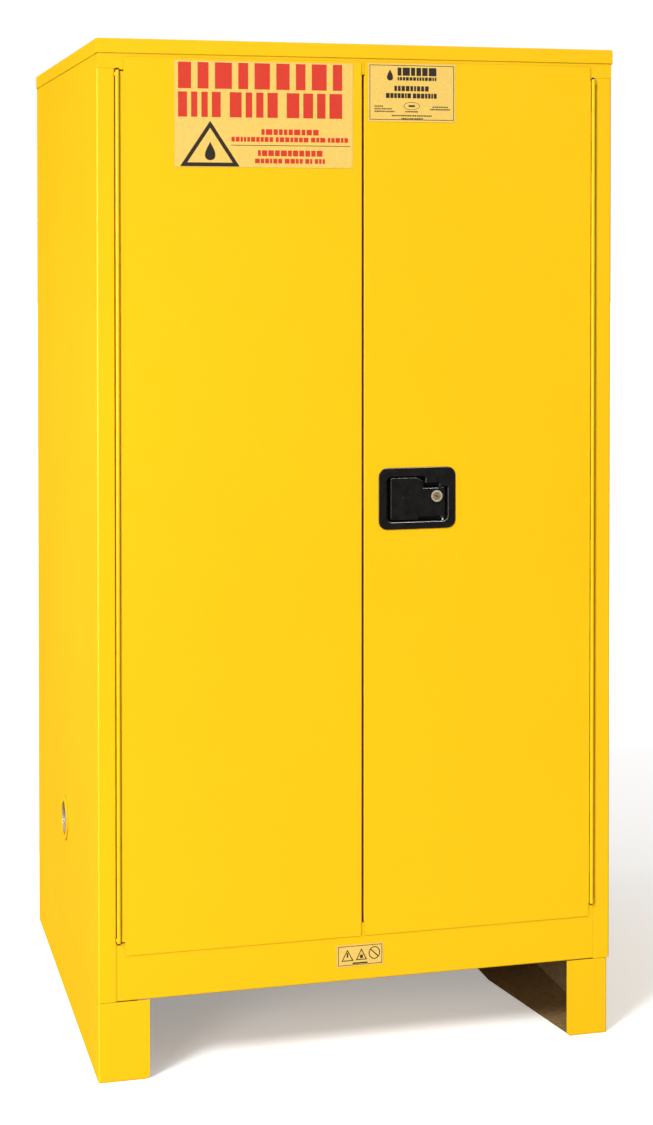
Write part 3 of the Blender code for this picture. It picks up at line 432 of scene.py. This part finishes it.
def weld_group():
    """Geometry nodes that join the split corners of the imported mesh."""
    group, start, end = node_group("join_corners")
    merge = group.nodes.new("GeometryNodeMergeByDistance")
    merge.inputs["Distance"].default_value = JOIN_REACH * MM
    drop_normals = group.nodes.new("GeometryNodeRemoveAttribute")
    drop_normals.inputs["Name"].default_value = "custom_normal"
    group.links.new(start.outputs[0], drop_normals.inputs["Geometry"])
    group.links.new(drop_normals.outputs["Geometry"], merge.inputs["Geometry"])
    group.links.new(merge.outputs["Geometry"], end.inputs[0])
    return group


def shade_group():
    """Geometry nodes that shade smooth across shallow edges."""
    group, start, end = node_group("shade_by_angle")
    faces, edges = (group.nodes.new("GeometryNodeSetShadeSmooth") for _ in range(2))
    edges.domain = "EDGE"
    edges.inputs["Shade Smooth"].default_value = False
    angle = group.nodes.new("GeometryNodeInputMeshEdgeAngle")
    steep = group.nodes.new("FunctionNodeCompare")
    steep.inputs["B"].default_value = SHARP_ANGLE
    group.links.new(start.outputs[0], faces.inputs["Geometry"])
    group.links.new(faces.outputs[0], edges.inputs["Geometry"])
    group.links.new(angle.outputs["Unsigned Angle"], steep.inputs["A"])
    group.links.new(steep.outputs[0], edges.inputs["Selection"])
    group.links.new(edges.outputs[0], end.inputs[0])
    return group


WELD, SHADE = weld_group(), shade_group()


def soften(obj, radius):
    """Small rounded edges and clean shading, as modifiers."""
    obj.modifiers.new("join", "NODES").node_group = WELD
    flat = obj.modifiers.new("flat", "DECIMATE")
    flat.decimate_type = "DISSOLVE"
    flat.angle_limit = FLAT_ANGLE
    if radius:
        edge = obj.modifiers.new("edge", "BEVEL")
        edge.width = radius * MM
        edge.segments = 2
        edge.limit_method = "ANGLE"
        edge.angle_limit = SHARP_ANGLE
        edge.miter_outer = "MITER_ARC"
    obj.modifiers.new("shade", "NODES").node_group = SHADE
    weight = obj.modifiers.new("weight", "WEIGHTED_NORMAL")
    weight.keep_sharp = True


def dress_nodes():
    """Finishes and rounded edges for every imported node."""
    for name, obj in frame["nodes"].items():
        for held in obj.material_slots:
            slot = held.material.name.split(".")[0]
            held.material = LEG_PAINT if name in LEGS else FINISHES[slot]
        soften(obj, EDGE_RADII.get(name, EDGE_RADIUS))


# Mesh helpers


def object_from(name, mesh, *finishes):
    """A new object in the scene, from a bmesh that it uses up."""
    data = bpy.data.meshes.new(name)
    mesh.to_mesh(data)
    mesh.free()
    for finish in finishes:
        data.materials.append(finish)
    obj = bpy.data.objects.new(name, data)
    bpy.context.scene.collection.objects.link(obj)
    return obj


def bridge(mesh, one, two):
    """Faces between two closed loops of vertices."""
    faces = []
    for i in range(len(one)):
        j = (i + 1) % len(one)
        faces.append(mesh.faces.new((one[i], one[j], two[j], two[i])))
    return faces


def circle_points(count):
    """Cosine and sine of the angles that divide a turn into count parts."""
    turns = (2 * math.pi * k / count for k in range(count))
    return [(math.cos(turn), math.sin(turn)) for turn in turns]


# Flat print on the labels

MARKS = random.Random(7)


def ink_loops(mesh, outline, front):
    """The corners of an outline of (x, z) points, in front of the ink and behind it."""
    depths = (front, front + INK * MM)
    return [[mesh.verts.new((x * MM, y, z * MM)) for x, z in outline] for y in depths]


def ink_over(mesh, faces, slot):
    for face in faces:
        face.material_index = slot
    bmesh.ops.recalc_face_normals(mesh, faces=faces)


def add_slab(mesh, outline, front, slot):
    """A closed plate of ink."""
    near, far = ink_loops(mesh, outline, front)
    ink_over(mesh, [mesh.faces.new(near), mesh.faces.new(far), *bridge(mesh, near, far)], slot)


def add_ring(mesh, outer, inner, front, slot):
    """A closed band of ink between two outlines with as many points each."""
    outer_near, outer_far = ink_loops(mesh, outer, front)
    inner_near, inner_far = ink_loops(mesh, inner, front)
    faces = bridge(mesh, outer_near, inner_near) + bridge(mesh, outer_far, inner_far)
    faces += bridge(mesh, outer_near, outer_far) + bridge(mesh, inner_near, inner_far)
    ink_over(mesh, faces, slot)


def bar(x0, x1, z0, z1):
    return [(x0, z0), (x1, z0), (x1, z1), (x0, z1)]


def shrunk(outline, by):
    """The outline of a convex shape moved in by a distance."""
    count = len(outline)
    following = outline[1:] + outline[:1]
    area = sum(here[0] * after[1] - after[0] * here[1] for here, after in zip(outline, following))
    inwards = -by if area > 0 else by
    out = []
    for i in range(count):
        before, here, after = (Vector(outline[k % count]) for k in (i - 1, i, i + 1))
        one, two = (here - before).normalized(), (after - here).normalized()
        n1, n2 = Vector((one.y, -one.x)), Vector((two.y, -two.x))
        middle = (n1 + n2) / max(1e-6, 1 + n1.dot(n2))
        out.append(tuple(here + middle * inwards))
    return out


def outlined(outline, width):
    """The outline and the inner edge of a line of that width along it."""
    return outline, shrunk(outline, width)


def oval(cx, cz, rx, rz):
    return [(cx + rx * c, cz + rz * s) for c, s in circle_points(OVAL_POINTS)]


def drop(cx, low, high, width):
    """A plain drop: round below and pointed above."""
    points = []
    for k in range(DROP_POINTS):
        t = 2 * math.pi * k / DROP_POINTS
        reach = math.sin(t) * math.sin(t / 2) ** 1.6 / 0.77  # 1 at its widest
        points.append((cx - width / 2 * reach, (low + high) / 2 + (high - low) / 2 * math.cos(t)))
    return points


def blocks(x0, x1, z0, z1, words, gap, space):
    """Bars in place of words: one, wide or narrow, for each of the letters counted in words."""
    widths = [[MARKS.uniform(0.6, 1.4) for _ in range(word)] for word in words]
    total = sum(sum(row) + gap * (len(row) - 1) for row in widths) + space * (len(words) - 1)
    unit, at, made = (x1 - x0) / total, x0, []
    for row in widths:
        for width in row:
            made.append(bar(at, at + width * unit, z0, z1))
            at += (width + gap) * unit
        at += (space - gap) * unit
    return made


def text_rows(rows, left, right, top):
    """The blocks of each row, whose start, end and heights count from those edges."""
    made = []
    for start, end, low, high, *words in rows:
        made += blocks(left + start, right + end, top - low, top - high, *words)
    return made


def edges_of(label):
    """Left, right, bottom and top of a label in millimetres."""
    (x0, _, z0), (x1, _, z1) = (tuple(c / MM for c in corner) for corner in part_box(label))
    return x0, x1, z0, z1


def print_on(label, body, red_slabs, dark_slabs, rings):
    """The print of a label; slabs are outlines, and rings are dark outlined() pairs."""
    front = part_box(label)[0].y - INK * MM * INK_PROUD
    mesh = bmesh.new()
    for slot, slabs in ((RED_SLOT, red_slabs), (DARK_SLOT, dark_slabs)):
        for outline in slabs:
            add_slab(mesh, outline, front, slot)
    for outer, inner in rings:
        add_ring(mesh, outer, inner, front, DARK_SLOT)
    obj = object_from(f"{label}_print", mesh, *INKS)
    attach(obj, body)


def warning_print():
    """Heading and small print in red, a rule, and a drop in a triangle."""
    x0, x1, z0, z1 = edges_of("warning_label")
    rule = bar(x0 + 91, x1 - 5, z1 - 134.2, z1 - 133.2)
    triangle = [(x0 + 9.3, z0 + 1.2), (x0 + 105.6, z0 + 1.2), (x0 + 57.8, z0 + 73.6)]
    dark = [rule, drop(x0 + 57.8, z0 + 11, z0 + 41, 19)]
    red = text_rows(WARNING_ROWS, x0, x1, z1)
    print_on("warning_label", "door_left", red, dark, [outlined(triangle, 6.2)])


def data_print():
    """Rows of dark print inside a thin frame, with a drop and a badge."""
    x0, x1, z0, z1 = edges_of("data_label")
    slabs = text_rows(DATA_ROWS, x0, x0, z1)
    slabs.append(bar(x0 + 68.2, x0 + 79.0, z1 - 70.4, z1 - 67.4))
    slabs.append(drop(x0 + 36.9, z1 - 28.0, z1 - 9.6, 11.5))
    border = bar(x0 + 2.7, x1 - 2.9, z0 + 3.2, z1 - 2.8)
    badge = oval(x0 + 73.6, z1 - 68.9, 13.6, 6.4)
    print_on("data_label", "door_right", [], slabs, [outlined(border, 1.0), outlined(badge, 0.7)])


def sill_print():
    """Two triangles and a crossed ring inside a thin frame, over a line of print."""
    x0, x1, z0, z1 = edges_of("sill_label")
    border = bar(x0 + 2.6, x1 - 2.6, z0 + 2.4, z1 - 2.4)
    first = [(x0 + 8.0, z0 + 9.6), (x0 + 28.5, z0 + 9.6), (x0 + 18.2, z0 + 28.6)]
    second = [(x0 + 32.5, z0 + 10.2), (x0 + 51.1, z0 + 10.2), (x0 + 41.8, z0 + 29.2)]
    ring = oval(x0 + 63.7, z0 + 20.3, 9.6, 10.4)
    corners = (57.6, 27.0), (56.6, 25.8), (69.8, 13.4), (70.9, 14.8)
    slabs = [
        bar(x0 + 17.0, x0 + 19.5, z0 + 15.4, z0 + 23.0),
        bar(x0 + 39.4, x0 + 44.2, z0 + 13.0, z0 + 18.6),
        [(x0 + x, z0 + z) for x, z in corners],
        bar(x0 + 27.0, x0 + 52.0, z0 + 4.2, z0 + 6.6),
    ]
    rings = [outlined(border, 1.0)] + [outlined(sign, 1.5) for sign in (first, second, ring)]
    print_on("sill_label", "cabinet", [], slabs, rings)


# Small trim


def trim(name, mesh, slot):
    """A smooth piece of the cabinet in one of the finishes."""
    bmesh.ops.recalc_face_normals(mesh, faces=mesh.faces)
    obj = object_from(name, mesh, FINISHES[slot])
    obj.data.shade_smooth()
    obj.modifiers.new("shade", "NODES").node_group = SHADE
    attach(obj, "cabinet")


def add_tube(mesh, points, radius, sides):
    """A closed round wire through points in metres; the radius is in millimetres."""
    rings = []
    for i, here in enumerate(points):
        ahead = points[min(i + 1, len(points) - 1)] - points[max(i - 1, 0)]
        turn = ahead.to_track_quat("Z", "Y")
        spokes = [Vector((c, s, 0)) * radius * MM for c, s in circle_points(sides)]
        rings.append([mesh.verts.new(here + turn @ spoke) for spoke in spokes])
    for one, two in zip(rings, rings[1:]):
        bridge(mesh, one, two)
    mesh.faces.new(rings[0])
    mesh.faces.new(rings[-1])


def vent_screens():
    """Woven wire in front of each flame arrester's plate."""
    pitch = SCREEN_PITCH * MM
    for side, out in (("left", -1), ("right", 1)):
        low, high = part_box(f"flame_arrester_{side}")
        centre = (low + high) / 2
        reach = (high.z - low.z) / 2 - SCREEN_RIM * MM
        face = (low.x if out < 0 else high.x) - out * SCREEN_DEPTH * MM
        mesh = bmesh.new()
        count = int(reach / pitch)
        for k in range(-count, count + 1):
            off = k * pitch
            half = math.sqrt(max(reach**2 - off**2, 0)) - SCREEN_GAP * MM
            if half < SCREEN_SHORTEST * MM:
                continue
            steps = max(2, int(2 * half / pitch))
            for upright in (False, True):
                points = []
                for j in range(steps + 1):
                    along = -half + 2 * half * j / steps
                    weave = SCREEN_WEAVE * MM * (1 if (j + k + upright) % 2 else -1)
                    y, z = (off, along) if upright else (along, off)
                    points.append(Vector((face + weave, centre.y + y, centre.z + z)))
                add_tube(mesh, points, SCREEN_WIRE, 5)
        trim(f"vent_screen_{side}", mesh, "stainless_steel")


def weld_runs():
    """Painted weld bead up the seam at each end of the sill."""
    (left, front, low), (right, _, high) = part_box("sill_rail")
    length = high - low - 2 * BEAD_END * MM
    for side, edge, out in (("left", left, -1), ("right", right, 1)):
        mesh = bmesh.new()
        x, y = edge + out * BEAD_OUT * MM, front + BEAD_BACK * MM
        heights = (low + BEAD_END * MM + length * k / BEAD_STEPS for k in range(BEAD_STEPS + 1))
        add_tube(mesh, [Vector((x, y, z)) for z in heights], BEAD_RADIUS, 10)
        trim(f"seam_weld_{side}", mesh, "yellow_paint")


def tacks():
    """Small painted weld drops where the hinge leaves end."""
    for side, out in (("left", -1), ("right", 1)):
        low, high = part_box(f"hinge_pin_{side}")
        x, y = (low.x + high.x) / 2 + out * TACK_OUT * MM, low.y + TACK_BACK * MM
        mesh = bmesh.new()
        for end, (rise, radius) in ((high.z, TACK_TOP), (low.z, TACK_BOTTOM)):
            centre = Vector((x, y, end + rise * MM))
            made = bmesh.ops.create_uvsphere(mesh, u_segments=14, v_segments=9, radius=radius * MM)
            for vert in made["verts"]:
                vert.co = centre + vert.co * Vector(TACK_STRETCH)
        trim(f"hinge_tacks_{side}", mesh, "yellow_paint")


# Studio


def paint_floor():
    """Pale floor that throws back less light than it shows, and fades into the backdrop."""
    made, tree, shader = material("pale_floor", Roughness=0.85, Specular_IOR_Level=0.0)
    path, apart = tree.nodes.new("ShaderNodeLightPath"), tree.nodes.new("ShaderNodeVectorMath")
    bounce, mirrored, shown = ((t, t, t, 1) for t in (FLOOR_BOUNCE, FLOOR_MIRRORED, FLOOR_TONE))
    tone = blend(tree, path.outputs["Is Glossy Ray"], bounce, mirrored)
    tone = blend(tree, path.outputs["Is Camera Ray"], tone, shown)
    tree.links.new(tone, shader.inputs["Base Color"])
    apart.operation = "LENGTH"
    tree.links.new(place(tree), apart.inputs[0])
    fade = spread(tree, apart.outputs["Value"], *FLOOR_GLOW, *FLOOR_REACH)
    glow = blend(tree, path.outputs["Is Camera Ray"], BLACK, fade)
    shader.inputs["Emission Color"].default_value = WHITE
    tree.links.new(glow, shader.inputs["Emission Strength"])
    return made


def make_floor():
    mesh = bmesh.new()
    bmesh.ops.create_circle(mesh, cap_ends=True, radius=FLOOR_RADIUS, segments=96)
    object_from("floor", mesh, paint_floor())


def sun():
    data = bpy.data.lights.new("key", "SUN")
    data.energy = SUN_STRENGTH
    data.angle = SUN_ANGLE
    lamp = bpy.data.objects.new("key", data)
    lamp.rotation_euler = Vector(SUN_FROM).to_track_quat("Z", "Y").to_euler()
    bpy.context.scene.collection.objects.link(lamp)


def area_light(name, where, target, size, power, mirrored_only=False, receivers=None):
    """A rectangular light, if asked only for reflections and for a collection's pieces."""
    data = bpy.data.lights.new(name, "AREA")
    data.shape = "RECTANGLE"
    data.size, data.size_y = size
    data.energy = power
    lamp = bpy.data.objects.new(name, data)
    lamp.location = where
    lamp.rotation_euler = (Vector(target) - Vector(where)).to_track_quat("-Z", "Y").to_euler()
    lamp.visible_diffuse = not mirrored_only
    lamp.light_linking.receiver_collection = receivers
    bpy.context.scene.collection.objects.link(lamp)


def pieces_in(*slots):
    """A collection of the objects that wear any of these finishes."""
    made = bpy.data.collections.new("_".join(slots))
    looks = {FINISHES[slot] for slot in slots}
    for obj in bpy.context.scene.objects:
        if obj.type == "MESH" and any(held.material in looks for held in obj.material_slots):
            made.objects.link(obj)
    return made


def chosen(tree, ray, one, two):
    """Shader two for rays of that kind, shader one for the others."""
    path, mixed = tree.nodes.new("ShaderNodeLightPath"), tree.nodes.new("ShaderNodeMixShader")
    tree.links.new(path.outputs[ray], mixed.inputs["Fac"])
    tree.links.new(one, mixed.inputs[1])
    tree.links.new(two, mixed.inputs[2])
    return mixed.outputs[0]


def make_world():
    """Sky that grows from the horizon up, a darker one in reflections and a white backdrop."""
    world = bpy.data.worlds.new("studio")
    bpy.context.scene.world = world
    world.use_nodes = True
    tree = world.node_tree
    tree.nodes.clear()
    light, mirrored, backdrop = (tree.nodes.new("ShaderNodeBackground") for _ in range(3))
    heights = tree.nodes.new("ShaderNodeSeparateXYZ")
    tree.links.new(tree.nodes.new("ShaderNodeTexCoord").outputs["Generated"], heights.inputs[0])
    for sky, (low, high, start) in ((light, SKY_LIGHT), (mirrored, SKY_MIRRORED)):
        glow = spread(tree, heights.outputs["Z"], low, high, start, 1.0)
        tree.links.new(glow, sky.inputs["Strength"])
    for sky in (light, mirrored, backdrop):
        sky.inputs["Color"].default_value = WHITE
    seen = chosen(tree, "Is Glossy Ray", light.outputs[0], mirrored.outputs[0])
    seen = chosen(tree, "Is Camera Ray", seen, backdrop.outputs[0])
    tree.links.new(seen, tree.nodes.new("ShaderNodeOutputWorld").inputs["Surface"])


def make_camera():
    data = bpy.data.cameras.new("camera")
    data.sensor_width = CAMERA_SENSOR
    data.lens = CAMERA_LENS
    data.shift_x, data.shift_y = CAMERA_SHIFT
    data.clip_start, data.clip_end = CAMERA_CLIP
    camera = bpy.data.objects.new("camera", data)
    yaw, pitch = CAMERA_YAW, CAMERA_PITCH
    ahead = Vector((-math.sin(yaw) * math.cos(pitch), math.cos(yaw) * math.cos(pitch), -math.sin(pitch)))
    right = Vector((math.cos(yaw), math.sin(yaw), 0.0))
    up = right.cross(ahead)
    turn = Matrix((right, up, -ahead)).transposed() @ Matrix.Rotation(CAMERA_ROLL, 3, "Z")
    camera.matrix_world = Matrix.Translation(CAMERA_PLACE) @ turn.to_4x4()
    bpy.context.scene.collection.objects.link(camera)
    bpy.context.scene.camera = camera


def make_studio():
    """Daylight from the left; metal and black pieces get reflector cards of their own."""
    bpy.context.scene.view_settings.view_transform = "Standard"
    make_floor()
    make_world()
    sun()
    for name, light in SOFT_LIGHTS.items():
        area_light(name, *light)
    for name, light in MIRRORED_STRIPS.items():
        area_light(name, *light, mirrored_only=True)
    metal, black = pieces_in(*METALS), pieces_in("black_cast")
    for name, light in METAL_CARDS.items():
        area_light(name, *light, mirrored_only=True, receivers=metal)
    area_light("latch_strip", *LATCH_STRIP, mirrored_only=True, receivers=black)
    make_camera()


dress_nodes()
warning_print()
data_print()
sill_print()
vent_screens()
weld_runs()
tacks()
make_studio()
